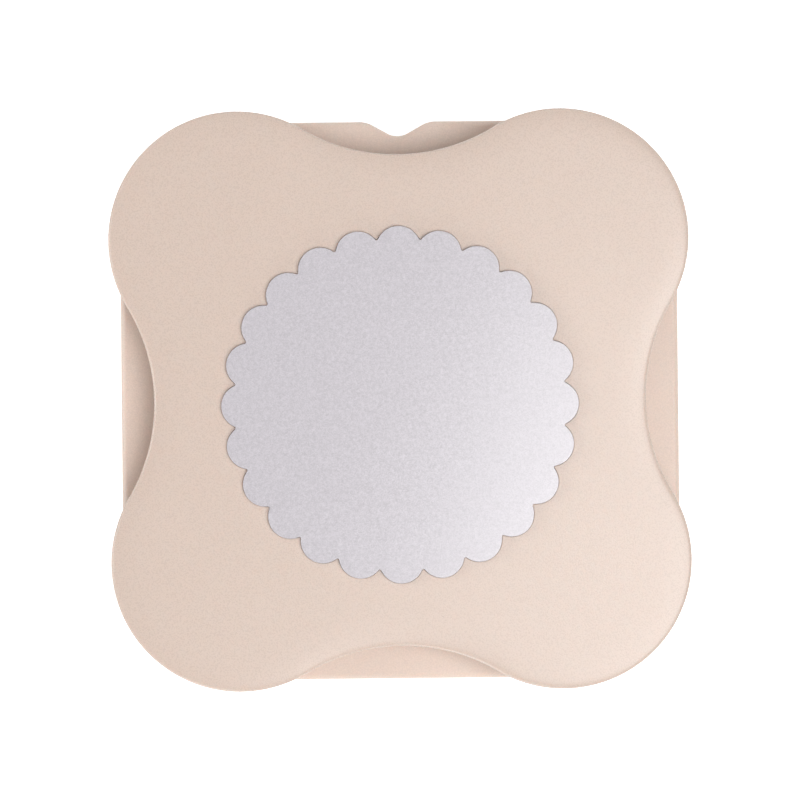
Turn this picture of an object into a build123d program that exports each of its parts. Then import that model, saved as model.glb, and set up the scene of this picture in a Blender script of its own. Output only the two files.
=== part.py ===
from build123d import *
import math
import os

# Scalloped circle punch: a square push punch with a four-lobed press cap over a metal die set.
# Millimetres, +Z up. The origin is in the middle of the body's foot. Paper goes in from -Y.
# The body stays still: two plastic housings round a die plate and a guide plate, with the paper
# slot between them. The press moves down 6.5 mm: cap, plunger and scalloped punch block in one.

# Plan sizes: the cap's lobes and the body's corners are round about the same four axes
LOBE_AXIS = 34.5
CAP_LOBE_R = 27.5
CAP_WAIST = 52.5
BODY_HALF = 60.5
WALL = 2.5
PLATE_INSET = WALL + 0.4

# Front notch: two shoulder arcs and a hollow bottom arc, joined by short straight flanks
NOTCH_HALF = 7.1
NOTCH_DEPTH = 3.1
NOTCH_SHOULDER_R = 3.7
NOTCH_BOTTOM_R = 4.5

# Punched shape: 24 round scallops on a 3 inch circle, set 1 mm back from the middle of the body
SCALLOPS = 24
CREST_R = 38.1
SCALLOP_R = 4.75
DIE_Y = 1.0
DIE_CLEARANCE = 0.04
GUIDE_CLEARANCE = 0.06
DIE_RELIEF = 0.6
RECESS_CLEARANCE = 0.15
VALLEY_R = 0.35
SHEAR_RISE = 1.6

# Heights, from the foot up
WEB_LOW = 5.5
DIE_LOW = 8.0
LAND_LOW = 10.0
DIE_TOP = 12.0
SLOT_TOP = 14.0
PUNCH_LOW = 14.5
GUIDE_TOP = 19.0
POCKET_LOW = 20.0
PLUNGER_LOW = 30.0
FLOOR_TOP = 33.0
FLANGE_LOW = 42.0
SPRING_CEILING = 44.0
FLANGE_TOP = 44.7
DECK_LOW = 45.0
RIB_TOP = 46.0
DECK_TOP = 47.5
CAP_RIM = 55.0
PAD_LOW = 56.8
CAP_CEILING = 58.2
RECESS_FLOOR = 59.4
ADHESIVE_TOP = 59.6
CAP_TOP = 60.5
INSERT_TOP = 61.7

# Edges of the cap and the body: the cap's crown falls away over its outer few millimetres
CROWN_REACH = 5.0
CROWN_DROP = 0.5
CAP_EDGE_R = 1.4
CAP_RIM_EDGE = 0.5
DECK_EDGE_R = 1.25
FOOT_EDGE = 0.6
SEAM_EDGE = 0.7

# Plunger skirt, its retaining flange and the play in the deck opening
SKIRT_LOBE_R = 17.0
SKIRT_WAIST = 42.5
SKIRT_WALL = 2.0
FLANGE_REACH = 3.0
SKIRT_PLAY = 0.4
COLLAR_PLAY = 0.2
COLLAR_WALL = 2.0
COLLAR_HEIGHT = 3.0
CAP_RIB = 1.6
CROSS_RIB = 2.0
COLUMN_R = 4.2

# Round features about the die axis
PAD_R = 39.2
ADHESIVE_R = 33.0
POCKET_R = 30.5
PUNCH_BOSS_R = 5.0

# Return springs and their seats
SPRING_AXIS = 36.0
SPRING_R = 4.7
WIRE_R = 0.5
SPRING_TURNS = 5
END_RISE = 1.5
SPIGOT_R = 3.6
SPIGOT_HEIGHT = 4.0
TOWER_BORE_R = 5.8
TOWER_R = 7.6

# Screws and pins
SHANK_R = 1.5
SCREW_HOLE_R = 1.7
HEAD_R = 3.0
HEAD_HEIGHT = 1.8
HEAD_BORE_R = 3.2
SINK_DEPTH = 1.5
POINT_EDGE = 0.5
PIN_R = 2.0
BASE_LUG_R = 5.5
HOUSING_POST_R = 3.5

# Window in the base frame's web, longer at the back so that it bares the die screws
WINDOW_X = 100.0
WINDOW_Y = 104.0
WINDOW_SHIFT = 2.0

# Places in plan
SLOT_BACK = 43.0
DIE_SCREWS = [(-38, 49), (-13.5, 50), (13.5, 50), (38, 49)]
PINS = [(-25, 50), (25, 50)]
HOUSING_SCREWS = [(-51, 0), (51, 0), (0, -50), (0, 51)]
BASE_SCREWS = [(-47.5, -47.5), (47.5, -47.5), (-47.5, 47.5), (47.5, 47.5)]
PUNCH_SCREWS = [(x, DIE_Y + y) for x in (-20, 20) for y in (-20, 20)]
CAP_SCREWS = [(-28, DIE_Y), (28, DIE_Y), (0, DIE_Y - 28), (0, DIE_Y + 28)]
SPRINGS = {
    "front_left": (-SPRING_AXIS, -SPRING_AXIS),
    "front_right": (SPRING_AXIS, -SPRING_AXIS),
    "rear_left": (-SPRING_AXIS, SPRING_AXIS),
    "rear_right": (SPRING_AXIS, SPRING_AXIS),
}


def slab(face, low, high):
    """A prism of the face between two heights."""
    return extrude(Pos(0, 0, low) * face, amount=high - low, dir=(0, 0, 1))


def rods(places, radius, low, high):
    """Upright cylinders of one size at several places."""
    one = Pos(0, 0, (low + high) / 2) * Cylinder(radius, high - low)
    return Part() + [Pos(x, y) * one for x, y in places]


def block(x_span, y_span, z_span):
    """A box between its two limits on each axis."""
    spans = (x_span, y_span, z_span)
    middle = [(low + high) / 2 for low, high in spans]
    return Pos(*middle) * Box(*[high - low for low, high in spans])


def behind_slot(low, high):
    """Everything behind the slot's back edge, between two heights."""
    return block((-70, 70), (SLOT_BACK, 70), (low, high))


def lobed_face(lobe_r, waist):
    """Four lobes about the lobe axes, joined by hollow arcs tangent to them that come to the waist."""
    a = LOBE_AXIS
    hollow_r = (a**2 + (waist - a) ** 2 - lobe_r**2) / (2 * (lobe_r + a - waist))
    share = lobe_r / (lobe_r + hollow_r)
    near = a * (1 - share)
    far = a + (waist + hollow_r - a) * share
    tip = a + lobe_r * math.sqrt(0.5)
    edges = []
    for quarter in range(4):
        turn = Rot(0, 0, 90 * quarter)
        edges.append(turn * ThreePointArc((far, near), (tip, tip), (near, far)))
        edges.append(turn * ThreePointArc((near, far), (0, waist), (-near, far)))
    return make_face(Curve() + edges)


def scallop_face(offset=0.0):
    """The punched shape about the die axis, grown outward by the offset."""
    centre_r = CREST_R - SCALLOP_R
    half = math.pi / SCALLOPS
    rise = math.sqrt((SCALLOP_R + offset) ** 2 - (centre_r * math.sin(half)) ** 2)
    valley_r = centre_r * math.cos(half) + rise

    def at(radius, angle):
        return radius * math.cos(angle), radius * math.sin(angle)

    edges = []
    for middle in [2 * half * number for number in range(SCALLOPS)]:
        start = at(valley_r, middle - half)
        end = at(valley_r, middle + half)
        edges.append(ThreePointArc(start, at(CREST_R + offset, middle), end))
    return Pos(0, DIE_Y) * make_face(Curve() + edges)


def scallop_slab(offset, low, high):
    """A prism of the punched shape with its valleys rounded, by the same curve at every offset."""
    prism = slab(scallop_face(offset), low, high)
    return fillet(prism.edges().filter_by(Axis.Z), VALLEY_R - offset)


def body_face(inset=0.0):
    """The body's round-cornered square with its front notch, drawn in by the inset all round."""
    half = BODY_HALF - inset
    reach = NOTCH_SHOULDER_R + NOTCH_BOTTOM_R
    rise = reach - NOTCH_DEPTH
    slope = math.atan2(NOTCH_HALF, rise) - math.acos(reach / math.hypot(NOTCH_HALF, rise))
    bottom_r = NOTCH_BOTTOM_R + inset
    bottom_y = NOTCH_DEPTH - NOTCH_BOTTOM_R - BODY_HALF

    def on_shoulder(side, angle):
        shoulder_r = NOTCH_SHOULDER_R - inset
        x = NOTCH_HALF - shoulder_r * math.sin(angle)
        return side * x, NOTCH_SHOULDER_R - BODY_HALF - shoulder_r * math.cos(angle)

    def foot(side):
        return side * bottom_r * math.sin(slope), bottom_y + bottom_r * math.cos(slope)

    edges = [ThreePointArc(foot(-1), (0, bottom_y + bottom_r), foot(1))]
    for side in (-1, 1):
        ends = on_shoulder(side, slope), on_shoulder(side, 0)
        edges.append(Line(foot(side), ends[0]))
        edges.append(ThreePointArc(ends[0], on_shoulder(side, slope / 2), ends[1]))
        edges.append(Line(ends[1], (side * LOBE_AXIS, -half)))
    tip = LOBE_AXIS + (half - LOBE_AXIS) * math.sqrt(0.5)
    corner = ThreePointArc((LOBE_AXIS, -half), (tip, -tip), (half, -LOBE_AXIS))
    straight = Line((half, -LOBE_AXIS), (half, LOBE_AXIS))
    edges += [Rot(0, 0, 90 * quarter) * corner for quarter in range(4)]
    edges += [Rot(0, 0, 90 * quarter) * straight for quarter in range(3)]
    return make_face(Curve() + edges)


def lower_housing():
    """Base frame: outer wall, a web that carries the die plate, and a raised back behind the slot."""
    shell = slab(body_face(), 0, DIE_TOP)
    shell = chamfer(shell.edges().group_by(Axis.Z)[0], FOOT_EDGE)
    shell = chamfer(shell.edges().group_by(Axis.Z)[-1], SEAM_EDGE)
    shell += slab(body_face(), DIE_TOP - 1, SLOT_TOP) & behind_slot(DIE_TOP - 1, SLOT_TOP)
    shell -= slab(body_face(WALL), 0, SLOT_TOP)
    window = slab(Pos(0, WINDOW_SHIFT) * RectangleRounded(WINDOW_X, WINDOW_Y, 16), WEB_LOW, DIE_LOW)
    web = slab(body_face(WALL), WEB_LOW, DIE_LOW) - window
    lugs = rods(BASE_SCREWS, BASE_LUG_R, WEB_LOW, DIE_LOW) & slab(body_face(1), WEB_LOW, DIE_LOW)
    gusset_side = Polyline((54.5, WEB_LOW), (BODY_HALF - 1, WEB_LOW), (BODY_HALF - 1, 1.5), close=True)
    gusset = extrude(Plane.XZ * make_face(gusset_side), amount=0.8, both=True)
    for quarter in range(4):
        for shift in (-18, 18):
            web += Rot(0, 0, 90 * quarter) * Pos(0, shift, 0) * gusset
    return shell + web + lugs - rods(BASE_SCREWS, SCREW_HOLE_R, WEB_LOW, DIE_LOW)


def die_plate():
    """Lower cutting plate: a sharp scalloped land over a relieved hole that the cut shape drops through."""
    plate = slab(body_face(PLATE_INSET), DIE_LOW, DIE_TOP)
    plate -= slab(scallop_face(DIE_CLEARANCE), DIE_LOW, DIE_TOP)
    plate -= slab(scallop_face(DIE_CLEARANCE + DIE_RELIEF), DIE_LOW, LAND_LOW)
    plate -= rods(DIE_SCREWS, HEAD_BORE_R, DIE_LOW, DIE_LOW + HEAD_HEIGHT + 0.1)
    plate -= rods(DIE_SCREWS, SCREW_HOLE_R, DIE_LOW, DIE_TOP)
    plate -= rods(PINS, PIN_R, DIE_LOW, DIE_TOP)
    return plate - rods(BASE_SCREWS, SHANK_R, DIE_LOW, DIE_TOP - 0.8)


def slot_spacer():
    """Shim that sets the slot's height and stops the paper behind the punched shape."""
    bar = slab(body_face(PLATE_INSET), DIE_TOP, SLOT_TOP) & behind_slot(DIE_TOP, SLOT_TOP)
    return bar - rods(DIE_SCREWS, SCREW_HOLE_R, DIE_TOP, SLOT_TOP) - rods(PINS, PIN_R, DIE_TOP, SLOT_TOP)


def guide_plate():
    """Upper plate: guides the punch block, strips the paper and carries the spring spigots."""
    plate = slab(body_face(PLATE_INSET), SLOT_TOP, GUIDE_TOP)
    plate -= slab(scallop_face(GUIDE_CLEARANCE), SLOT_TOP, GUIDE_TOP)
    spigot = Pos(0, 0, GUIDE_TOP + SPIGOT_HEIGHT / 2) * Cylinder(SPIGOT_R, SPIGOT_HEIGHT)
    spigot = chamfer(spigot.edges().group_by(Axis.Z)[-1], 0.8)
    plate += [Pos(x, y) * spigot for x, y in SPRINGS.values()]
    plate -= rods(DIE_SCREWS, SHANK_R, SLOT_TOP, GUIDE_TOP - 1)
    plate -= rods(PINS, PIN_R, SLOT_TOP, GUIDE_TOP - 0.5)
    plate -= rods(HOUSING_SCREWS, HEAD_BORE_R, SLOT_TOP, SLOT_TOP + HEAD_HEIGHT + 0.1)
    return plate - rods(HOUSING_SCREWS, SCREW_HOLE_R, SLOT_TOP, GUIDE_TOP)


def upper_housing():
    """Body shell over the guide plate, with the four-lobed opening that the plunger slides in."""
    shell = slab(body_face(), SLOT_TOP, DECK_TOP)
    shell = fillet(shell.edges().group_by(Axis.Z)[-1], DECK_EDGE_R)
    shell = chamfer(shell.edges().group_by(Axis.Z)[0], SEAM_EDGE)
    shell += slab(body_face(), SLOT_TOP, SLOT_TOP + 1) & behind_slot(SLOT_TOP, SLOT_TOP + 1)
    shell -= slab(body_face(WALL), SLOT_TOP, DECK_LOW)
    shell -= slab(lobed_face(SKIRT_LOBE_R + SKIRT_PLAY, SKIRT_WAIST + SKIRT_PLAY), DECK_LOW, DECK_TOP)
    deck = shell.faces().sort_by(Axis.Z)[-1]
    shell = chamfer(deck.inner_wires()[0].edges(), FOOT_EDGE)
    shell += rods(HOUSING_SCREWS, HOUSING_POST_R, GUIDE_TOP, DECK_LOW)
    return shell - rods(HOUSING_SCREWS, SHANK_R, GUIDE_TOP, GUIDE_TOP + 12)


def plunger():
    """Lobed sleeve under the cap: skirt, retaining flange, cross ribs, spring towers, screw columns."""
    inner = lobed_face(SKIRT_LOBE_R - SKIRT_WALL, SKIRT_WAIST - SKIRT_WALL)
    flange = lobed_face(SKIRT_LOBE_R + FLANGE_REACH, SKIRT_WAIST + FLANGE_REACH)
    body = slab(lobed_face(SKIRT_LOBE_R, SKIRT_WAIST), PLUNGER_LOW, CAP_CEILING)
    body += slab(flange, FLANGE_LOW, FLANGE_TOP)
    body -= slab(inner, FLOOR_TOP, CAP_CEILING)
    half = CROSS_RIB / 2
    body += block((1 - SKIRT_WAIST, SKIRT_WAIST - 1), (DIE_Y - half, DIE_Y + half), (FLOOR_TOP, RIB_TOP))
    body += block((-half, half), (1 - SKIRT_WAIST, SKIRT_WAIST - 1), (FLOOR_TOP, RIB_TOP))
    body += rods(SPRINGS.values(), TOWER_R, FLOOR_TOP, RIB_TOP)
    body += rods(CAP_SCREWS, COLUMN_R, FLOOR_TOP, PAD_LOW)
    body -= rods(SPRINGS.values(), TOWER_BORE_R, PLUNGER_LOW, SPRING_CEILING)
    body -= rods(CAP_SCREWS, SHANK_R, RIB_TOP, PAD_LOW)
    return body - rods(PUNCH_SCREWS, SCREW_HOLE_R, PLUNGER_LOW, FLOOR_TOP)


def punch_block():
    """Male cutter: a scalloped cup whose hollow-ground underside shears the paper from two sides."""
    cutter = slab(scallop_face(), PUNCH_LOW, PLUNGER_LOW)
    pocket = rods([(0, DIE_Y)], POCKET_R, POCKET_LOW, PLUNGER_LOW)
    pocket -= rods(PUNCH_SCREWS, PUNCH_BOSS_R, POCKET_LOW, PLUNGER_LOW)
    bar = block((-POCKET_R - 1, POCKET_R + 1), (-1.5, 1.5), (POCKET_LOW, PLUNGER_LOW))
    pocket -= Pos(0, DIE_Y) * bar + Pos(0, DIE_Y) * Rot(0, 0, 90) * bar
    ends = (DIE_Y - CREST_R, PUNCH_LOW), (DIE_Y + CREST_R, PUNCH_LOW)
    arch = Curve() + [ThreePointArc(ends[0], (DIE_Y, PUNCH_LOW + SHEAR_RISE), ends[1]), Line(*ends)]
    hollow = extrude(Plane.YZ * make_face(arch), amount=CREST_R + 2, both=True)
    return cutter - pocket - hollow - rods(PUNCH_SCREWS, SHANK_R, POCKET_LOW + 2, PLUNGER_LOW)


def top_cap():
    """Press cap: thick four-lobed shell with a soft crown and a scalloped recess for the insert."""
    cap = slab(lobed_face(CAP_LOBE_R, CAP_WAIST), CAP_RIM, CAP_TOP)
    cap = chamfer(cap.edges().group_by(Axis.Z)[0], CAP_RIM_EDGE)
    top = cap.faces().sort_by(Axis.Z)[-1]
    cap = chamfer(top.edges(), length=CROWN_REACH, length2=CROWN_DROP, reference=top)
    shoulder = CAP_TOP - CROWN_DROP
    cap = fillet(cap.edges().filter_by_position(Axis.Z, shoulder - 0.01, shoulder + 0.01), CAP_EDGE_R)
    inside = slab(lobed_face(CAP_LOBE_R - WALL, CAP_WAIST - WALL), CAP_RIM, CAP_CEILING)
    inside -= rods([(0, DIE_Y)], PAD_R, PAD_LOW, CAP_CEILING)
    near = COLLAR_PLAY
    far = COLLAR_PLAY + COLLAR_WALL
    low = CAP_CEILING - COLLAR_HEIGHT
    collar = slab(lobed_face(SKIRT_LOBE_R + far, SKIRT_WAIST + far), low, CAP_CEILING)
    collar -= slab(lobed_face(SKIRT_LOBE_R + near, SKIRT_WAIST + near), low, CAP_CEILING)
    cap = cap - inside + collar
    rib = block((SKIRT_LOBE_R + 1, CAP_LOBE_R - 1), (-CAP_RIB / 2, CAP_RIB / 2), (CAP_RIM + 0.8, CAP_CEILING))
    for quarter in range(4):
        for angle in (0, 45, 90):
            cap += Rot(0, 0, 90 * quarter) * Pos(LOBE_AXIS, LOBE_AXIS) * Rot(0, 0, angle) * rib
    cap -= scallop_slab(RECESS_CLEARANCE, RECESS_FLOOR, CAP_TOP)
    cap -= rods(CAP_SCREWS, SCREW_HOLE_R, PAD_LOW, RECESS_FLOOR)
    sink = Pos(0, 0, RECESS_FLOOR - SINK_DEPTH / 2) * Cone(SCREW_HOLE_R, HEAD_BORE_R, SINK_DEPTH)
    return cap - [Pos(x, y) * sink for x, y in CAP_SCREWS]


def scallop_insert():
    """Silver scalloped plate that shows the punched shape, glued into the cap's recess."""
    plate = scallop_slab(0, ADHESIVE_TOP, INSERT_TOP)
    return chamfer(plate.edges().group_by(Axis.Z)[-1], 0.15)


def adhesive_disc():
    """Round double-sided pad between the cap and the insert."""
    return rods([(0, DIE_Y)], ADHESIVE_R, RECESS_FLOOR, ADHESIVE_TOP)


def cross():
    """Cross recess of a screw head, one millimetre deep from the seat plane up."""
    return Box(3.4, 0.9, 2) + Box(0.9, 3.4, 2)


def pan_screws(places, seat, length, point):
    """Pan-head screws on a seat height, whose shanks point up (1) or down (-1)."""
    head = Pos(0, 0, HEAD_HEIGHT / 2) * Cylinder(HEAD_R, HEAD_HEIGHT)
    head = chamfer(head.edges().group_by(Axis.Z)[-1], 0.8) - Pos(0, 0, HEAD_HEIGHT) * cross()
    shank = Pos(0, 0, -length / 2) * Cylinder(SHANK_R, length)
    shank = chamfer(shank.edges().group_by(Axis.Z)[0], POINT_EDGE)
    one = Rot(180 if point > 0 else 0, 0, 0) * (head + shank)
    return Part() + [Pos(x, y, seat) * one for x, y in places]


def flat_screws(places, top, length):
    """Countersunk screws whose heads end flush at the top height."""
    head = Pos(0, 0, -SINK_DEPTH / 2) * Cone(SHANK_R, HEAD_R, SINK_DEPTH) - cross()
    shank = Pos(0, 0, -(length + SINK_DEPTH) / 2) * Cylinder(SHANK_R, length - SINK_DEPTH)
    shank = chamfer(shank.edges().group_by(Axis.Z)[0], POINT_EDGE)
    return Part() + [Pos(x, y, top) * (head + shank) for x, y in places]


def biarc(start, start_way, end, end_way):
    """Two arcs from start to end that leave and arrive along the given unit directions."""
    chord = end - start
    ways = start_way + end_way
    slack = 2 * (1 - start_way.dot(end_way))
    along = chord.dot(ways)
    reach = (math.sqrt(along**2 + slack * chord.dot(chord)) - along) / slack
    first = start + start_way * reach
    last = end - end_way * reach
    joint = (first + last) * 0.5
    return [
        TangentArc(start, joint, tangent=start_way),
        TangentArc(joint, end, tangent=(last - first).normalized()),
    ]


def spring_height(turn):
    """Height of the wire's centre after so many turns: the two end turns rise less than the others."""
    low = GUIDE_TOP + WIRE_R + 0.05
    high = SPRING_CEILING - WIRE_R - 0.05
    middle_rise = (high - low - 2 * END_RISE) / (SPRING_TURNS - 2)
    if turn <= 1:
        return low + END_RISE * turn
    if turn >= SPRING_TURNS - 1:
        return high - END_RISE * (SPRING_TURNS - turn)
    return low + END_RISE + middle_rise * (turn - 1)


def wire_point(turn):
    """A point on the wire's centre line."""
    angle = 2 * math.pi * turn
    return Vector(SPRING_R * math.cos(angle), SPRING_R * math.sin(angle), spring_height(turn))


def wire_way(turn):
    """Unit direction of the wire, from the heights a quarter turn to each side."""
    angle = 2 * math.pi * turn
    before = max(turn - 0.25, 0)
    after = min(turn + 0.25, SPRING_TURNS)
    climb = (spring_height(after) - spring_height(before)) / (2 * math.pi * (after - before))
    return Vector(-SPRING_R * math.sin(angle), SPRING_R * math.cos(angle), climb).normalized()


def return_spring():
    """One compression spring as an unbroken six-sided wire swept along half-turn biarcs."""
    path = Curve()
    for step in range(2 * SPRING_TURNS):
        ends = step / 2, (step + 1) / 2
        path += biarc(wire_point(ends[0]), wire_way(ends[0]), wire_point(ends[1]), wire_way(ends[1]))
    start = Plane(wire_point(0), x_dir=(1, 0, 0), z_dir=wire_way(0))
    return sweep(start * RegularPolygon(WIRE_R, 6), path=path)


def least_spring_gap():
    """Least distance between two turns of one spring, wire surface to wire surface."""
    points = [wire_point(turn / 36) for turn in range(36 * SPRING_TURNS + 1)]
    gaps = [(b - a).length for i, a in enumerate(points) for b in points[i + 24 :]]
    return min(gaps) - 2 * WIRE_R


parts = {
    "lower_housing": lower_housing(),
    "die_plate": die_plate(),
    "slot_spacer": slot_spacer(),
    "guide_plate": guide_plate(),
    "upper_housing": upper_housing(),
    "base_screws": pan_screws(BASE_SCREWS, WEB_LOW, 5.5, 1),
    "die_screws": pan_screws(DIE_SCREWS, DIE_LOW + HEAD_HEIGHT + 0.1, 8, 1),
    "housing_screws": pan_screws(HOUSING_SCREWS, SLOT_TOP + HEAD_HEIGHT + 0.1, 12, 1),
    "locating_pins": rods(PINS, PIN_R, DIE_LOW + 0.5, GUIDE_TOP - 0.5),
    "plunger": plunger(),
    "punch_block": punch_block(),
    "punch_screws": pan_screws(PUNCH_SCREWS, FLOOR_TOP, 10, -1),
    "top_cap": top_cap(),
    "cap_screws": flat_screws(CAP_SCREWS, RECESS_FLOOR, 12),
    "adhesive_disc": adhesive_disc(),
    "scallop_insert": scallop_insert(),
}
spring = return_spring()
for place, (x, y) in SPRINGS.items():
    parts[f"return_spring_{place}"] = Pos(x, y) * spring
print("least gap between spring turns, mm:", round(least_spring_gap(), 2))

os.makedirs("parts", exist_ok=True)
for name, shape in parts.items():
    export_step(shape, f"parts/{name}.step")
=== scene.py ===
import bpy
import mathutils
import numpy as np
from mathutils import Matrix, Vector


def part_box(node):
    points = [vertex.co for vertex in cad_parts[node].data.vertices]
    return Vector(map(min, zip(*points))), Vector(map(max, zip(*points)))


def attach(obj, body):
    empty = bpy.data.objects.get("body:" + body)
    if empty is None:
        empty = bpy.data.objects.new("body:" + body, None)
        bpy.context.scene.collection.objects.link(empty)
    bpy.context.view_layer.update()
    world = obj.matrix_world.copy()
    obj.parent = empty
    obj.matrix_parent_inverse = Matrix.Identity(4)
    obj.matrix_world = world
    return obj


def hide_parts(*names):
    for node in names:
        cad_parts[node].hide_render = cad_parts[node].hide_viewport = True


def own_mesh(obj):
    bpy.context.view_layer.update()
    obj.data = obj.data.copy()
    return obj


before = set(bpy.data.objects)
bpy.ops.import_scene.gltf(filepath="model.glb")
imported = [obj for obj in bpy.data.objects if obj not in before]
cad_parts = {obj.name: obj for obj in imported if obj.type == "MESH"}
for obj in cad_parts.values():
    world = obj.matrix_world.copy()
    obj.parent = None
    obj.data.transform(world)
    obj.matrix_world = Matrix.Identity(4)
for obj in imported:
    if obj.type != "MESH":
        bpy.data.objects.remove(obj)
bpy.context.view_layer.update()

# Lower housing: the base frame that the punch stands on, moulded in warm beige ABS with a fine
# spark-eroded grain. Its foot is an open rim, a web inside it carries the die plate, and behind the
# paper slot its wall rises to meet the upper housing.
MM = 0.001
LOBE_AXIS = 34.5
BODY_HALF = 60.5
WALL = 2.5
NOTCH_HALF = 8.1
NOTCH_DEPTH = 3.1
NOTCH_SHOULDER_R = 5.3
NOTCH_BOTTOM_R = 4.5
SLOT_BACK = 43.0
FOOT_ROUND = 0.6
LIP_ROUND = 0.7
SEAM_ROUND = 0.2
INNER_ROUND = 0.3
LEAST_R = 0.2
SUNK = 1.0
WEB_LOW = 5.5
WEB_ROOT = 0.2
WINDOW_HALF = 50.0
WINDOW_BACK = 54.0
WINDOW_CORNER = 16.0
GUSSET_SHIFT = 18.0
GUSSET_START = 54.5
GUSSET_LOW = 1.5
GUSSET_HALF = 0.8
GUSSET_ROOT = 0.1
LUG_SPOT = 47.5
LUG_R = 5.5
LUG_PROUD = 0.02
LUG_MIDDLE_R = 0.01
SHARP_ANGLE = 35
QUARTER_TURN = np.array([[0, -1], [1, 0]])
# The housing's colour is painted lighter than the cap's to offset the shade that the cap casts on the deck
# around it. Both are the same ABS, so this difference is painted light.
HOUSING_COLOUR_PAINTED_LIGHTER = (0.800, 0.649, 0.559, 1)
PIT_COLOUR = (0.30, 0.20, 0.16, 1)


def top_of(node):
    """Top height of a node of the frame, in millimetres."""
    return round(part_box(node)[1][2] / MM, 3)


def foot_of(node):
    """Bottom height of a node of the frame, in millimetres."""
    return round(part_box(node)[0][2] / MM, 3)


def arc(centre, radius, start, end, count):
    """Points on a circle from the start angle to just before the end angle, in degrees."""
    turn = np.radians(start + (end - start) * np.arange(count) / count)
    return np.stack([centre[0] + radius * np.cos(turn), centre[1] + radius * np.sin(turn)], 1)


def line(start, end, count):
    """Evenly spaced points from start to just before end."""
    share = (np.arange(count) / count)[:, None]
    return np.asarray(start, float) * (1 - share) + np.asarray(end, float) * share


def body_outline(inset):
    """The body's plan drawn in by the inset, 480 points from the middle of the right side: a square
    with round corners about the lobe axes, whose front edge dips into the notch along two shoulder
    arcs, two short flanks and a hollow arc, all tangent."""
    a, half = LOBE_AXIS, BODY_HALF - inset
    reach = NOTCH_SHOULDER_R + NOTCH_BOTTOM_R
    rise = reach - NOTCH_DEPTH
    slope = np.arctan2(NOTCH_HALF, rise) - np.arccos(reach / np.hypot(NOTCH_HALF, rise))
    slope = np.degrees(slope)
    shoulder = max(NOTCH_SHOULDER_R - inset, LEAST_R)
    dip_centre = (0, NOTCH_DEPTH - NOTCH_BOTTOM_R - BODY_HALF)
    dip = arc(dip_centre, NOTCH_BOTTOM_R + inset, 90 + slope, 90 - slope, 16)
    left = arc((-NOTCH_HALF, shoulder - half), shoulder, 270, 270 + slope, 7)
    flank = arc((-NOTCH_HALF, shoulder - half), shoulder, 270 + slope, 360, 1)
    right = arc((NOTCH_HALF, shoulder - half), shoulder, 270 - slope, 270, 7)
    return np.concatenate([
        line((half, 0), (half, a), 40),
        arc((a, a), half - a, 0, 90, 40),
        line((a, half), (-a, half), 80),
        arc((-a, a), half - a, 90, 180, 40),
        line((-half, a), (-half, -a), 80),
        arc((-a, -a), half - a, 180, 270, 40),
        line((-a, -half), (-NOTCH_HALF, -half), 24), left, flank,
        dip, dip[:1] * (-1, 1), right, line((NOTCH_HALF, -half), (a, -half), 24),
        arc((a, -a), half - a, 270, 360, 40),
        line((half, -a), (half, 0), 40),
    ])


def window_outline(inset):
    """The window in the web, 480 points: a rectangle with round corners, longer at the back."""
    x, back, front = WINDOW_HALF + inset, WINDOW_BACK + inset, -WINDOW_HALF - inset
    corner = WINDOW_CORNER + inset
    middle = (x, (WINDOW_BACK - WINDOW_HALF) / 2)
    return np.concatenate([
        line(middle, (x, back - corner), 40),
        arc((x - corner, back - corner), corner, 0, 90, 40),
        line((x - corner, back), (corner - x, back), 80),
        arc((corner - x, back - corner), corner, 90, 180, 40),
        line((-x, back - corner), (-x, front + corner), 80),
        arc((corner - x, front + corner), corner, 180, 270, 40),
        line((corner - x, front), (x - corner, front), 80),
        arc((x - corner, front + corner), corner, 270, 360, 40),
        line((x, front + corner), middle, 40),
    ])


def rounded(corners, closed=False, steps=5, margin=0.05):
    """A profile through (offset, height, radius) corners: each corner with a radius becomes an arc
    tangent to its two sides, set back from the corner by the radius over the half angle's tangent.
    A point on each side by the arc's ends keeps the flats beside it flat in smooth shading."""
    spots = np.array([corner[:2] for corner in corners], float)
    out = []
    for i, (spot, radius) in enumerate(zip(spots, [corner[2] for corner in corners])):
        if radius == 0 or (not closed and i in (0, len(corners) - 1)):
            out.append(spot)
            continue
        u = spots[i - 1] - spot
        v = spots[(i + 1) % len(spots)] - spot
        u, v = u / np.linalg.norm(u), v / np.linalg.norm(v)
        half = np.arccos(np.clip(u @ v, -1, 1)) / 2
        middle = spot + (u + v) / np.linalg.norm(u + v) * radius / np.sin(half)
        ends = [spot + way * radius / np.tan(half) - middle for way in (u, v)]
        first, last = [np.arctan2(end[1], end[0]) for end in ends]
        sweep = (last - first + np.pi) % (2 * np.pi) - np.pi
        turn = first + sweep * np.arange(steps + 1) / steps
        out.append(middle + ends[0] + u * margin)
        out += list(middle + radius * np.stack([np.cos(turn), np.sin(turn)], 1))
        out.append(middle + ends[1] + v * margin)
    return np.array(out)


def stack(outline, profile):
    """Rings of points: the outline at each offset of the profile, at that height."""
    return np.array([np.insert(outline(offset), 2, z, axis=1) for offset, z in profile])


def skin(rings, closed=False, cap_first=False, cap_last=False):
    """Vertices and faces of the surface through rings of equal count. Closed joins the last ring to
    the first, and a cap fans a ring to a point at its middle. Counterclockwise rings that come from
    under the piece, go up its outside and in over its top give faces that point outwards."""
    count, around = rings.shape[:2]
    vertices = rings.reshape(-1, 3)
    row = np.arange(count if closed else count - 1)[:, None] * around
    step = np.arange(around)[None, :]
    above = (row + around) % (count * around)
    beside = (step + 1) % around
    faces = np.stack([row + step, row + beside, above + beside, above + step], -1)
    faces = faces.reshape(-1, 4).tolist()
    edge = np.arange(around)
    for first, wanted in ((True, cap_first), (False, cap_last)):
        if wanted:
            start = 0 if first else (count - 1) * around
            ends = (start + (edge + 1) % around, start + edge)
            ends = ends if first else ends[::-1]
            faces += np.stack([*ends, np.full(around, len(vertices))], 1).tolist()
            vertices = np.vstack([vertices, rings[0 if first else -1].mean(0)])
    return vertices, faces


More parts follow.
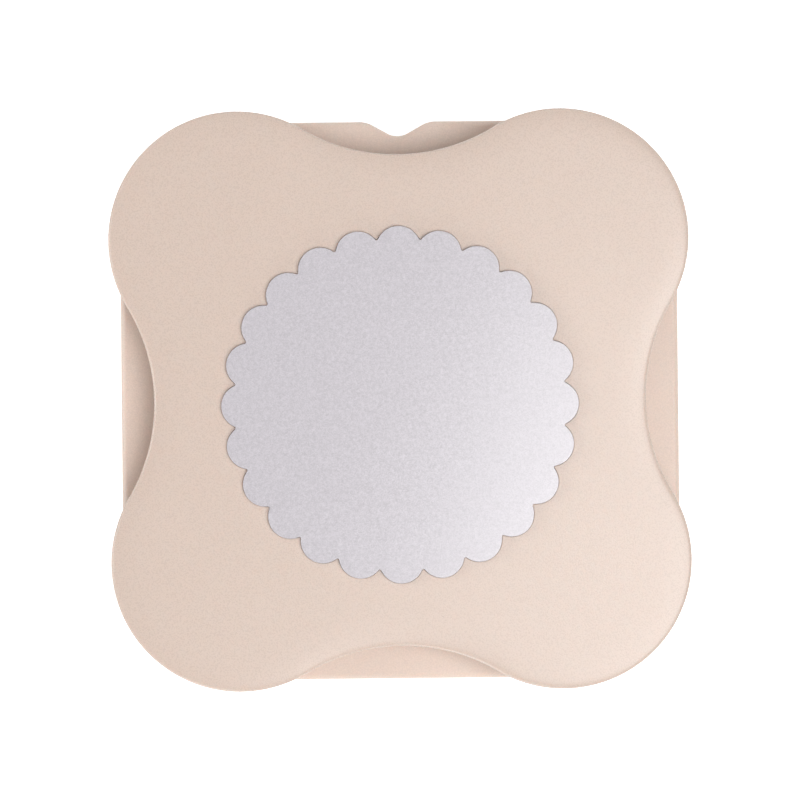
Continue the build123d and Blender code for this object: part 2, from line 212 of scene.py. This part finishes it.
def behind_slot(corners):
    """The body's wall behind the paper slot: a closed profile of rounded corners carried along that
    part of the outline, with both ends shut. The path runs clockwise, so that faces point outwards."""
    kept = np.flatnonzero(body_outline(0)[:, 1] > SLOT_BACK)[::-1]
    rings = stack(body_outline, rounded(corners, closed=True, steps=3))[:, kept]
    return skin(rings.transpose(1, 0, 2), cap_first=True, cap_last=True)


def turned(spots, profile):
    """Surfaces of revolution about upright axes at the spots, from a profile of (radius, height)."""
    circle = arc((0, 0), 1, 0, 360, 40)
    return [
        skin(stack(lambda r: circle * r + spot, profile), cap_first=True, cap_last=True)
        for spot in np.array(spots, float)
    ]


def gusset(shift, quarter):
    """A triangular rib in the corner under the web: a triangle in side view, set off by half the rib's
    thickness to either side of its shift along the wall, and carried round by quarter turns."""
    high, wall = WEB_LOW + GUSSET_ROOT, BODY_HALF - SUNK
    side = np.array([[GUSSET_START, high], [wall, high], [wall, GUSSET_LOW]])
    faces = [np.insert(side, 1, shift + across, axis=1) for across in (-GUSSET_HALF, GUSSET_HALF)]
    rings = np.stack(faces)
    rings[:, :, :2] = rings[:, :, :2] @ np.linalg.matrix_power(QUARTER_TURN, quarter).T
    return skin(rings, cap_first=True, cap_last=True)


def piece(name, surfaces):
    """One object of several (vertices, faces) surfaces in millimetres, smooth but for edges over the
    sharp angle in degrees."""
    vertices, faces, start = [], [], 0
    for points, polygons in surfaces:
        vertices.append(np.asarray(points, float) * MM)
        faces += [[start + corner for corner in polygon] for polygon in polygons]
        start += len(points)
    mesh = bpy.data.meshes.new(name)
    mesh.from_pydata(np.concatenate(vertices).tolist(), [], faces)
    mesh.shade_smooth()
    mesh.set_sharp_from_angle(angle=np.radians(SHARP_ANGLE))
    obj = bpy.data.objects.new(name, mesh)
    bpy.context.scene.collection.objects.link(obj)
    return obj


def fit(obj, body, material, slot, *nodes):
    """The piece gets its finish, rides on its body and stands for its nodes of the frame."""
    obj.data.materials.append(material)
    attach(obj, body)
    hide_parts(*nodes)


def shader(tree, kind, inputs=(), **settings):
    """A shader node with its settings by name. An input is given a constant, or a socket to link."""
    made = tree.nodes.new("ShaderNode" + kind)
    for name, value in settings.items():
        setattr(made, name, value)
    for name, value in dict(inputs).items():
        if isinstance(value, bpy.types.NodeSocket):
            tree.links.new(value, made.inputs[name])
        else:
            made.inputs[name].default_value = value
    return made


def calc(tree, operation, *values):
    """The output of a Math node with the given operation and inputs."""
    return shader(tree, "Math", dict(enumerate(values)), operation=operation).outputs[0]


def swing(tree, wave, width, middle):
    """A value that follows a wave of 0 to 1: the wave less a half, times the width, plus the middle."""
    return calc(tree, "MULTIPLY_ADD", calc(tree, "SUBTRACT", wave, 0.5), width, middle)


def ramp(tree, value, start, end, low=0.0, high=1.0):
    """The value carried in a straight line from start and end to low and high, and held beyond."""
    ends = {"From Min": start, "From Max": end, "To Min": low, "To Max": high}
    return shader(tree, "MapRange", {"Value": value, **ends}).outputs[0]


def per_metre(tree, size):
    """How many times a size in millimetres goes into a metre."""
    return calc(tree, "DIVIDE", 1000.0, size)


def noise(tree, place, scale, detail, roughness=0.5):
    """Cloudy noise of 0 to 1, with its scale in clouds per metre."""
    inputs = {"Vector": place, "Scale": scale, "Detail": detail, "Roughness": roughness}
    return shader(tree, "TexNoise", inputs).outputs["Fac"]


def cells(tree, place, scale):
    """Voronoi cells, so many per metre: the distance from a cell's middle as a share of its size, and
    a random value of 0 to 1 for each cell."""
    made = shader(tree, "TexVoronoi", {"Vector": place, "Scale": scale}).outputs
    return made["Distance"], shader(tree, "SeparateColor", {0: made["Color"]}).outputs[0]


def scaled(tree, colour, factor):
    """The colour times a factor."""
    return shader(tree, "VectorMath", {0: colour, "Scale": factor}, operation="SCALE").outputs[0]


def blend(tree, share, colour, other):
    """The colour with a share of another mixed in."""
    return shader(tree, "Mix", {"Factor": share, 6: colour, 7: other}, data_type="RGBA").outputs[2]


def effect(name, inputs):
    """An empty node group with named inputs, which puts out a colour, a roughness and a height:
    (group, its inputs' sockets, its output node)."""
    colour_kind, value_kind = "NodeSocketColor", "NodeSocketFloat"
    group = bpy.data.node_groups.new(name, "ShaderNodeTree")
    for label, value in inputs.items():
        kind = colour_kind if isinstance(value, tuple) else value_kind
        group.interface.new_socket(label, in_out="INPUT", socket_type=kind).default_value = value
    for label, kind in (("Colour", colour_kind), ("Roughness", value_kind), ("Height", value_kind)):
        group.interface.new_socket(label, in_out="OUTPUT", socket_type=kind)
    return group, group.nodes.new("NodeGroupInput").outputs, group.nodes.new("NodeGroupOutput")


def put_out(group, out, **results):
    """Links each result to the group's output of that name."""
    for label, result in results.items():
        group.links.new(result, out.inputs[label])


def spark_grain():
    """Moulded ABS from a spark-eroded tool: a pebbled grain a few tenths of a millimetre across, a
    slow unevenness in the colour over centimetres, and rare dark specks in the resin. Grain comes
    from noise of the given size; specks are the middles of some cells of a coarse Voronoi."""
    group, given, out = effect("Spark grain", {
        "Base": HOUSING_COLOUR_PAINTED_LIGHTER, "Speck": PIT_COLOUR, "Grain mm": 0.3, "Contrast": 0.3, "Roughness": 0.38,
    })
    clouds_per_metre, cloud_swing, roughness_swing = 45.0, 0.03, 0.12
    cells_per_metre, share_without, speck_rim, speck_core, speck_depth = 130.0, 0.72, 0.022, 0.012, 0.35
    place = shader(group, "TexCoord").outputs["Object"]
    pebbles = noise(group, place, per_metre(group, given["Grain mm"]), detail=2.0, roughness=0.55)
    cloud = noise(group, place, clouds_per_metre, detail=3.0)
    distance, lot = cells(group, place, cells_per_metre)
    spot = calc(group, "MULTIPLY", ramp(group, distance, speck_rim, speck_core), speck_depth)
    speck = calc(group, "MULTIPLY", calc(group, "GREATER_THAN", lot, share_without), spot)
    shade = swing(group, cloud, cloud_swing, swing(group, pebbles, given["Contrast"], 1.0))
    put_out(
        group, out, Colour=blend(group, speck, scaled(group, given["Base"], shade), given["Speck"]),
        Roughness=swing(group, pebbles, roughness_swing, given["Roughness"]), Height=pebbles,
    )
    return group


def finish(name, group, values, relief, **surface):
    """A material with one Principled shader whose colour, roughness and relief come from an effect.
    Relief is the bump's depth in millimetres, and constants go straight onto the shader's sockets."""
    material = bpy.data.materials.new(name)
    material.use_nodes = True
    tree = material.node_tree
    look = tree.nodes["Principled BSDF"]
    source = shader(tree, "Group", node_tree=group)
    for label, value in values.items():
        source.inputs[label].default_value = value
    tree.links.new(source.outputs["Colour"], look.inputs["Base Color"])
    tree.links.new(source.outputs["Roughness"], look.inputs["Roughness"])
    depth = {"Height": source.outputs["Height"], "Distance": relief * MM, "Strength": 1.0}
    tree.links.new(shader(tree, "Bump", depth).outputs["Normal"], look.inputs["Normal"])
    for label, value in surface.items():
        look.inputs[label.replace("_", " ")].default_value = value
    return material


# Light goes about a millimetre deep into pale ABS.
ABS_SKIN = {
    "IOR": 1.54, "Subsurface_Weight": 0.3, "Subsurface_Radius": (1.0, 0.6, 0.45), "Subsurface_Scale": 0.0012,
}
grain = spark_grain()
housing_abs = finish("housing_abs", grain, {}, relief=0.035, **ABS_SKIN)
lip = foot_of("slot_spacer")
seam = top_of("slot_spacer")
web_top = foot_of("die_plate")
frame_wall = rounded([
    (WALL, 0, INNER_ROUND), (0, 0, FOOT_ROUND), (0, lip, LIP_ROUND), (WALL, lip, INNER_ROUND),
], closed=True)
riser = behind_slot([(WALL, lip - SUNK, 0), (0, lip - SUNK, 0), (0, seam, SEAM_ROUND), (WALL, seam, 0)])
window_edge = rounded([(0, web_top, 0), (0, WEB_LOW, INNER_ROUND), (2 * INNER_ROUND, WEB_LOW, 0)])
web = np.concatenate([
    stack(window_outline, window_edge),
    stack(body_outline, [(WALL - WEB_ROOT, WEB_LOW), (WALL - WEB_ROOT, web_top)]),
])
gussets = [gusset(shift, quarter) for quarter in range(4) for shift in (-GUSSET_SHIFT, GUSSET_SHIFT)]
lug_low = WEB_LOW - LUG_PROUD
lugs = turned(
    [(x, y) for y in (-LUG_SPOT, LUG_SPOT) for x in (-LUG_SPOT, LUG_SPOT)],
    rounded([(LUG_MIDDLE_R, lug_low, 0), (LUG_R, lug_low, INNER_ROUND), (LUG_R, web_top, 0)]),
)
lower = piece("lower_housing_shell", [
    skin(stack(body_outline, frame_wall), closed=True), riser, skin(web, closed=True), *gussets, *lugs,
])
fit(lower, "body", housing_abs, "housing_plastic", "lower_housing")

# Die plate, slot spacer and guide plate: zinc alloy castings with ground faces. The die plate has the
# sharp scalloped hole, the spacer sets the paper slot's height, and the guide plate over it holds the
# punch block upright and carries a spigot for each return spring.
PLATE_COLOUR = (0.56, 0.56, 0.55, 1)
STAIN_COLOUR = (0.30, 0.29, 0.27, 1)


def ground_metal():
    """Machined metal: straight grinding lines along X, noise drawn out to forty times its width, over
    a faint cloudy stain. The lines give the relief and shift the roughness, and stains are duller."""
    group, given, out = effect("Ground metal", {
        "Base": PLATE_COLOUR, "Stain": STAIN_COLOUR, "Line mm": 0.2, "Stain share": 0.3, "Roughness": 0.4,
    })
    drawn_out, line_swing, roughness_swing = 40, 0.16, 0.1
    stains_per_metre, stain_start, stain_full, stain_dulls = 110.0, 0.45, 0.75, 0.4
    place = shader(group, "TexCoord").outputs["Object"]
    stretch = {0: place, 1: (1 / drawn_out, 1.0, 1.0)}
    drawn = shader(group, "VectorMath", stretch, operation="MULTIPLY").outputs[0]
    lines = noise(group, drawn, per_metre(group, given["Line mm"]), detail=2.0)
    cloud = noise(group, place, stains_per_metre, detail=5.0, roughness=0.6)
    stain = ramp(group, cloud, stain_start, stain_full)
    share = calc(group, "MULTIPLY", stain, given["Stain share"])
    tone = scaled(group, given["Base"], swing(group, lines, line_swing, 1.0))
    rough = swing(group, lines, roughness_swing, given["Roughness"])
    put_out(
        group, out, Colour=blend(group, share, tone, given["Stain"]),
        Roughness=calc(group, "MULTIPLY_ADD", share, stain_dulls, rough), Height=lines,
    )
    return group


def dress(node, material):
    """The node of the frame keeps its shape and gets the material."""
    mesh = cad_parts[node].data
    mesh.materials.clear()
    mesh.materials.append(material)


metal = ground_metal()
plate_zinc = finish("plate_zinc", metal, {}, relief=0.004, Metallic=1.0)
for name in ("die_plate", "slot_spacer", "guide_plate"):
    dress(name, plate_zinc)

# Locating pins and self-tapping screws: turned and rolled steel, zinc plated to a bright blue-white.
# The pins line the two plates up, and the screws join plates, housings, punch and cap in turn.
screw_zinc = finish("screw_zinc", metal, {
    "Base": (0.66, 0.67, 0.69, 1), "Stain": (0.42, 0.41, 0.38, 1),
    "Line mm": 0.08, "Stain share": 0.2, "Roughness": 0.29,
}, relief=0.002, Metallic=1.0)
for name in ("locating_pins", "die_screws", "base_screws", "housing_screws", "punch_screws", "cap_screws"):
    dress(name, screw_zinc)

# Upper housing: the rest of the body, in the same grained ABS. Its wall stands on the lower housing
# behind the slot, and its deck has the four-lobed opening that the plunger slides in. Four posts
# under the deck take the screws that come up through the guide plate. A ring is the width of flat
# face that a profile carries beyond the edge it rounds.
DECK_THICK = 2.5
DECK_ROUND = 1.25
DECK_RING = 3.0
OPENING_ROUND = 0.6
OPENING_RING = 2.0
PLAY = 0.4
SKIRT_LOBE_R = 17.0
SKIRT_WAIST = 42.5
POST_SPOTS = [(-51, 0), (51, 0), (0, -50), (0, 51)]
POST_R = 3.5
POST_LOW = 19.05
POST_ROOT = 0.5
SCREW_HOLE_R = 1.5
SCREW_HOLE_TOP = 31.0


def lobed(lobe_r, waist, inset):
    """A four-lobed outline drawn in by the inset, 480 points from the middle of the right waist. Each
    lobe is an arc about a lobe axis. Between two lobes runs a hollow arc, tangent to both, whose
    middle is at the waist: its radius is (a2 + (w-a)2 - r2) / (2(r + a - w))."""
    a = LOBE_AXIS
    r, w = lobe_r - inset, waist - inset
    hollow = (a**2 + (w - a) ** 2 - r**2) / (2 * (r + a - w))
    turn = np.degrees(np.arctan2(a, w + hollow - a))
    quarter = np.concatenate([
        arc((w + hollow, 0), hollow, 180, 180 - turn, 26),
        arc((a, a), r, -turn, 90 + turn, 68),
        arc((0, w + hollow), hollow, turn - 90, -90, 26),
    ])
    return np.concatenate([quarter, quarter @ QUARTER_TURN.T, -quarter, quarter @ QUARTER_TURN])


def skirt_outline(inset):
    """The plan of the plunger's skirt, drawn in by the inset."""
    return lobed(SKIRT_LOBE_R, SKIRT_WAIST, inset)


def opening(inset):
    """The deck's opening, wider than the skirt by the play."""
    return lobed(SKIRT_LOBE_R + PLAY, SKIRT_WAIST + PLAY, inset)


deck_top = top_of("upper_housing")
deck_low = deck_top - DECK_THICK
outside = rounded([
    (DECK_RING, deck_low, 0), (WALL, deck_low, INNER_ROUND), (WALL, seam, INNER_ROUND),
    (0, seam, LIP_ROUND), (0, deck_top, DECK_ROUND), (DECK_RING, deck_top, 0),
], steps=7)
hole = rounded([
    (-OPENING_RING, deck_top, 0), (0, deck_top, OPENING_ROUND),
    (0, deck_low, INNER_ROUND), (-OPENING_RING, deck_low, 0),
])
seat = behind_slot([(WALL, seam, 0), (0, seam, SEAM_ROUND), (0, seam + SUNK, 0), (WALL, seam + SUNK, 0)])
posts = turned(POST_SPOTS, rounded([
    (SCREW_HOLE_R, SCREW_HOLE_TOP, 0), (SCREW_HOLE_R, POST_LOW, 0), (POST_R, POST_LOW, INNER_ROUND),
    (POST_R, deck_low + POST_ROOT, 0),
]))
shell = np.concatenate([stack(body_outline, outside), stack(opening, hole)])
upper = piece("upper_housing_shell", [skin(shell, closed=True), seat, *posts])
fit(upper, "body", housing_abs, "housing_plastic", "upper_housing")

# Return springs: four compression springs coiled from 1 mm drawn steel wire, standing on the guide
# plate's spigots inside the plunger's towers. Their end turns lie closer together than the others.
WIRE_R = 0.5
COIL_R = 4.7
TURNS = 5
END_RISE = 1.5
END_GAP = 0.05
SPRING_AXIS = 36.0
STEPS_PER_TURN = 40
WIRE_SIDES = 12
spring_wire = finish("spring_wire", metal, {
    "Base": (0.42, 0.42, 0.43, 1), "Stain": (0.20, 0.17, 0.14, 1),
    "Line mm": 0.05, "Stain share": 0.25, "Roughness": 0.35,
}, relief=0.002, Metallic=1.0)


def coil(centre, low, high):
    """A round wire about a helix: its height rises by the end rise over the first and the last turn,
    and evenly between. Each ring lies across the wire, spanned by the radius's direction and the
    direction across both that and the wire."""
    turn = np.linspace(0, TURNS, STEPS_PER_TURN * TURNS + 1)
    foot, head = low + WIRE_R + END_GAP, high - WIRE_R - END_GAP
    z = np.interp(turn, [0, 1, TURNS - 1, TURNS], [foot, foot + END_RISE, head - END_RISE, head])
    climb = np.gradient(z, turn * 2 * np.pi)
    c, s = np.cos(2 * np.pi * turn), np.sin(2 * np.pi * turn)
    path = np.stack([centre[0] + COIL_R * c, centre[1] + COIL_R * s, z], 1)
    out = np.stack([c, s, 0 * c], 1)
    way = np.stack([-COIL_R * s, COIL_R * c, climb], 1)
    way /= np.linalg.norm(way, axis=1)[:, None]
    across = np.cross(way, out)
    angle = np.linspace(0, 2 * np.pi, WIRE_SIDES, endpoint=False)[None, :, None]
    rings = path[:, None] + WIRE_R * (np.cos(angle) * out[:, None] + np.sin(angle) * across[:, None])
    return skin(rings, cap_first=True, cap_last=True)


spring_foot = 19.0
spring_head = 44.0
for side in ("front_left", "front_right", "rear_left", "rear_right"):
    low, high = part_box(f"return_spring_{side}")
    x, y = [SPRING_AXIS * np.sign(low[k] + high[k]) for k in (0, 1)]
    spring = piece(f"spring_{side}", [coil((x, y), spring_foot, spring_head)])
    fit(spring, "body", spring_wire, "spring_steel", f"return_spring_{side}")
    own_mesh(spring)

# Plunger: the sleeve between cap and punch block, moulded in the same ABS. Its lobed skirt slides in
# the deck's opening and a flange under the deck holds it back. Ribs, four spring towers and four
# screw columns stand on its floor.
dress("plunger", housing_abs)

# Punch block: the male cutter, zinc alloy ground to the scalloped outline and hollow underneath, so
# that it shears the paper from two sides. Four screws hold it against the plunger's floor.
punch_zinc = finish("punch_zinc", metal, {
    "Base": (0.62, 0.62, 0.62, 1), "Line mm": 0.12, "Stain share": 0.15, "Roughness": 0.32,
}, relief=0.003, Metallic=1.0)
dress("punch_block", punch_zinc)

# Top cap: the four-lobed palm rest, moulded in the body's ABS, with a crown that falls away softly
# over the last few millimetres and a scalloped recess for the insert. Its colour is darker than the
# housing's, because the housing's colour is painted lighter to offset the shade the cap casts on the deck.
# Four countersunk screws in the recess hold it to the plunger's columns.
CAP_LOBE_R = 27.5
CAP_WAIST = 52.5
CEILING = 58.2
CEILING_ROUND = 1.2
CEILING_RING = 6.0
RIM_ROUND = 0.5
SIDE_RING = 3.0
PAD_LOW = 56.8
PAD_R = 39.2
PAD_RING = 1.2
CROWN_REACH = 8.0
CROWN_SOFT = 0.3
CROWN_FALL = 0.22
CROWN_RINGS = 24
CAP_ROUND = 0.5
DIE_Y = 1.0
SCALLOPS = 24
CREST_R = 38.1
SCALLOP_R = 4.75
VALLEY_R = 0.35
RECESS_GAP = 0.06
RECESS_ROUND = 0.14
RECESS_RING = 0.3
COLLAR_GAP = 0.2
COLLAR_WALL = 2.0
COLLAR_DEEP = 3.0
RIB_START = 18.0
RIB_END = 26.5
RIB_WIDE = 1.6
RIB_LOW = 0.8
RIB_EDGE = 0.2
RIB_ROOT = 0.3
DIAGONAL = 0.7071
# Darker than the housing's colour, which is painted lighter to offset the cap's shade on the deck.
CAP_COLOUR = (0.672, 0.542, 0.465, 1)


def cap_outline(inset):
    """The cap's plan, drawn in by the inset."""
    return lobed(CAP_LOBE_R, CAP_WAIST, inset)


def scallops(offset):
    """The punched outline grown by the offset, 480 points from the crest on the right: 24 crest arcs
    about points on a circle, with each valley between two crests rounded by a small arc tangent to
    both. The valley's radius shrinks as the outline grows, so that outlines stay parallel."""
    half = np.radians(180 / SCALLOPS)
    centre, crest, valley = CREST_R - SCALLOP_R, SCALLOP_R + offset, VALLEY_R - offset
    far = centre * np.cos(half) + np.sqrt((crest + valley) ** 2 - (centre * np.sin(half)) ** 2)
    knot = far * np.array([np.cos(half), np.sin(half)])
    turn = np.degrees(np.arctan2(knot[1], knot[0] - centre))
    period = 360 / SCALLOPS
    onward = centre * np.array([np.cos(2 * half), np.sin(2 * half)])
    one = np.concatenate([
        arc((centre, 0), crest, 0, turn, 7),
        arc(knot, valley, turn + 180, 180 + period - turn, 6),
        arc(onward, crest, period - turn, period, 7),
    ])
    way = np.radians(period * np.arange(SCALLOPS))
    c, s = np.cos(way)[:, None], np.sin(way)[:, None]
    x, y = one[:, 0] * c - one[:, 1] * s, one[:, 0] * s + one[:, 1] * c
    return np.stack([x, y + DIE_Y], -1).reshape(-1, 2)


def about_die(radius):
    """A circle of 480 points about the die axis."""
    return arc((0, DIE_Y), radius, 0, 360, 480)


def crown(top):
    """The crown's profile from the cap's edge inwards, in rings that lie closer near the edge. With
    R the reach, s the softness and x the inset, it drops from the top by the fall times
    ln((R + s) / (x + s)) - (R - x) / (R + s), so that it starts level and steepens outwards, and by
    the edge's quarter round."""
    far = CROWN_REACH + CROWN_SOFT
    inset = CROWN_REACH * np.linspace(0, 1, CROWN_RINGS) ** 2
    fall = np.log(far / (inset + CROWN_SOFT)) - (CROWN_REACH - inset) / far
    edge = np.clip(CAP_ROUND - inset, 0, None)
    corner = CAP_ROUND - np.sqrt(CAP_ROUND**2 - edge**2)
    return np.stack([inset, top - CROWN_FALL * fall - corner], 1)


def rib(start, end, low, high):
    """An upright rib between two points in plan, with its top and bottom edges eased: a rectangle
    that is smaller by the edge in its first and last ring."""
    way = (end - start) / np.linalg.norm(end - start)
    side = np.array([-way[1], way[0]])

    def outline(inset):
        reach, half = way * inset, side * (RIB_WIDE / 2 - inset)
        return np.array([start + reach - half, end - reach - half, end - reach + half, start + reach + half])

    profile = [(RIB_EDGE, low), (0, low + RIB_EDGE), (0, high - RIB_EDGE), (RIB_EDGE, high)]
    return skin(stack(outline, profile), cap_first=True, cap_last=True)


rim = foot_of("top_cap")
cap_top = top_of("top_cap")
recess = foot_of("adhesive_disc")
under = rounded([(PAD_R - PAD_RING, PAD_LOW, 0), (PAD_R, PAD_LOW, INNER_ROUND), (PAD_R, CEILING, 0)])
side = rounded([
    (WALL + CEILING_RING, CEILING, 0), (WALL, CEILING, CEILING_ROUND), (WALL, rim, INNER_ROUND),
    (0, rim, RIM_ROUND), (0, cap_top - SIDE_RING, 0),
])
land = rounded([
    (RECESS_RING, cap_top, 0), (RECESS_GAP, cap_top, RECESS_ROUND), (RECESS_GAP, recess, 0),
], steps=3)
outer = np.concatenate([side, crown(cap_top)])
shell = np.concatenate([stack(about_die, under), stack(cap_outline, outer), stack(scallops, land)])
near, far, low, high = -COLLAR_GAP, -COLLAR_GAP - COLLAR_WALL, CEILING - COLLAR_DEEP, CEILING + RIB_ROOT
collar = stack(skirt_outline, [(near, low), (far, low), (far, high), (near, high)])
ribs = []
for x, y in ((1, 1), (-1, 1), (-1, -1), (1, -1)):
    axis = LOBE_AXIS * np.array([x, y])
    for way in ((x, 0), (x * DIAGONAL, y * DIAGONAL), (0, y)):
        way = np.array(way)
        ribs.append(rib(axis + RIB_START * way, axis + RIB_END * way, rim + RIB_LOW, high))
cap_abs = finish("cap_abs", grain, {
    "Base": CAP_COLOUR, "Contrast": 0.14, "Roughness": 0.28,
}, relief=0.024, **ABS_SKIN)
cap = piece("top_cap_shell", [
    skin(shell, cap_first=True, cap_last=True), skin(collar, closed=True), *ribs,
])
fit(cap, "press", cap_abs, "cap_plastic", "top_cap")

# Adhesive disc: a round pad of white double-sided tape between the recess and the insert.
tape = finish("tape_foam", grain, {
    "Base": (0.80, 0.79, 0.76, 1), "Grain mm": 0.5, "Roughness": 0.8,
}, relief=0.03)
dress("adhesive_disc", tape)

# Scallop insert: a stamped plate in the punched shape, sprayed with fine-grained silver paint. It
# stands a little proud of the cap, and its edge is just broken.
INSERT_ROUND = 0.07
INSERT_FOOT_ROUND = 0.05
INSERT_LOW_RING = 1.0
INSERT_TOP_RING = 1.2
SILVER = (0.546, 0.513, 0.549, 1)


def silver_paint():
    """Silver lacquer: flakes about two tenths of a millimetre across lie at random, so that each
    Voronoi cell has its own brightness, and the sprayed film over them is softly uneven."""
    group, given, out = effect("Silver paint", {"Base": SILVER, "Flake mm": 0.2, "Roughness": 0.17})
    film_per_metre, film_swing = 1100.0, 0.22
    flake_swing, flake_relief, roughness_swing = 0.18, 0.3, 0.1
    place = shader(group, "TexCoord").outputs["Object"]
    lot = cells(group, place, per_metre(group, given["Flake mm"]))[1]
    film = noise(group, place, film_per_metre, detail=3.0)
    shade = swing(group, lot, flake_swing, swing(group, film, film_swing, 1.0))
    put_out(
        group, out, Colour=scaled(group, given["Base"], shade),
        Roughness=swing(group, lot, roughness_swing, given["Roughness"]),
        Height=calc(group, "MULTIPLY_ADD", lot, flake_relief, film),
    )
    return group


silver = finish("silver_lacquer", silver_paint(), {}, relief=0.013, Specular_IOR_Level=0.9)
insert_low = foot_of("scallop_insert")
insert_top = top_of("scallop_insert")
plate = rounded([
    (-INSERT_LOW_RING, insert_low, 0), (0, insert_low, INSERT_FOOT_ROUND),
    (0, insert_top, INSERT_ROUND), (-INSERT_TOP_RING, insert_top, 0),
], steps=4, margin=0.03)
insert = piece("scallop_plate", [skin(stack(scallops, plate), cap_first=True, cap_last=True)])
fit(insert, "press", silver, "insert_silver", "scallop_insert")

# Studio: a white sheet under the punch, a faint sky that brightens to a pale ring at the horizon, and
# the camera straight above at 75 centimetres. The main box is large and stands to the right of the
# picture, so that it shines back softly from that half, and smaller boxes fill the shadows. The
# punch is turned by a little over half a degree in the picture.
SHEET_HALF = 4.0
SHEET_NEAR = 0.3
SHEET_FAR = 1.2
NEAR_GLOW = 0.75
SKY = 0.16
HORIZON = 0.93
HORIZON_HEIGHT = 0.5
PAPER_COLOUR = (0.8, 0.8, 0.8, 1)
PAPER_ROUGHNESS = 0.9
WHITE = (1, 1, 1, 1)
LAMP_AIM = (0, 0, 0.06)
VIEW_DISTANCE = 0.75
PIXELS_PER_MM = 4.6955
PIXELS_ACROSS = 800
TURN = -0.58


def seen_rays(tree):
    """One for camera, glossy and transmission rays, and zero for the rays that light the punch."""
    rays = shader(tree, "LightPath").outputs
    mirrored = calc(tree, "MAXIMUM", rays["Is Glossy Ray"], rays["Is Transmission Ray"])
    return calc(tree, "MAXIMUM", rays["Is Camera Ray"], mirrored)


def soft_box(name, spot, size, power):
    """A square area lamp that looks from its spot towards the punch, in metres and watts."""
    lamp = bpy.data.lights.new(name, "AREA")
    lamp.shape, lamp.size, lamp.energy = "SQUARE", size, power
    box = bpy.data.objects.new(name, lamp)
    box.location = spot
    way = mathutils.Vector(LAMP_AIM) - mathutils.Vector(spot)
    box.rotation_euler = way.to_track_quat("-Z", "Y").to_euler()
    bpy.context.scene.collection.objects.link(box)


sheet = bpy.data.meshes.new("sheet")
corners = SHEET_HALF * np.array([[-1, -1, 0], [1, -1, 0], [1, 1, 0], [-1, 1, 0]])
sheet.from_pydata(corners.tolist(), [], [(0, 1, 2, 3)])
floor = bpy.data.objects.new("studio_floor", sheet)
bpy.context.scene.collection.objects.link(floor)
paper = bpy.data.materials.new("studio_paper")
paper.use_nodes = True
tree = paper.node_tree
look = tree.nodes["Principled BSDF"]
look.inputs["Base Color"].default_value = PAPER_COLOUR
look.inputs["Roughness"].default_value = PAPER_ROUGHNESS
look.inputs["Emission Color"].default_value = WHITE
place = shader(tree, "TexCoord").outputs["Object"]
away = shader(tree, "VectorMath", {0: place}, operation="LENGTH").outputs["Value"]
glow = ramp(tree, away, SHEET_NEAR, SHEET_FAR, NEAR_GLOW, 1.0)
tree.links.new(calc(tree, "MULTIPLY", seen_rays(tree), glow), look.inputs["Emission Strength"])
sheet.materials.append(paper)

world = bpy.data.worlds.new("studio_world")
world.use_nodes = True
tree = world.node_tree
background = tree.nodes["Background"]
background.inputs["Color"].default_value = WHITE
up = shader(tree, "SeparateXYZ", {0: shader(tree, "TexCoord").outputs["Generated"]}).outputs[2]
band = ramp(tree, up, HORIZON_HEIGHT, 0.0, SKY, HORIZON)
tree.links.new(calc(tree, "MAXIMUM", band, seen_rays(tree)), background.inputs["Strength"])
bpy.context.scene.world = world

soft_box("main_box", (-0.34, 0.2, 1.0), 0.6, 6.3)
soft_box("high_box", (-0.13, 0.04, 1.0), 0.2, 0.45)
soft_box("fill_box", (0.45, -0.45, 0.8), 0.3, 0.7)
soft_box("far_box", (0.73, 0.0, 0.36), 0.35, 1.6)
soft_box("low_box", (0.2, 0.75, 0.27), 0.35, 1.4)
soft_box("front_box", (-0.1, -0.6, 0.6), 0.3, 0.5)

shot = bpy.data.cameras.new("camera")
camera = bpy.data.objects.new("camera", shot)
bpy.context.scene.collection.objects.link(camera)
bpy.context.scene.camera = camera
shot.sensor_width = 36.0
shot.lens = shot.sensor_width * VIEW_DISTANCE / MM * PIXELS_PER_MM / PIXELS_ACROSS
shot.clip_end = 20.0
camera.location = (0, 0, insert_top * MM + VIEW_DISTANCE)
camera.rotation_euler = (0, 0, np.radians(180 + TURN))

bpy.context.scene.view_settings.view_transform = "Standard"
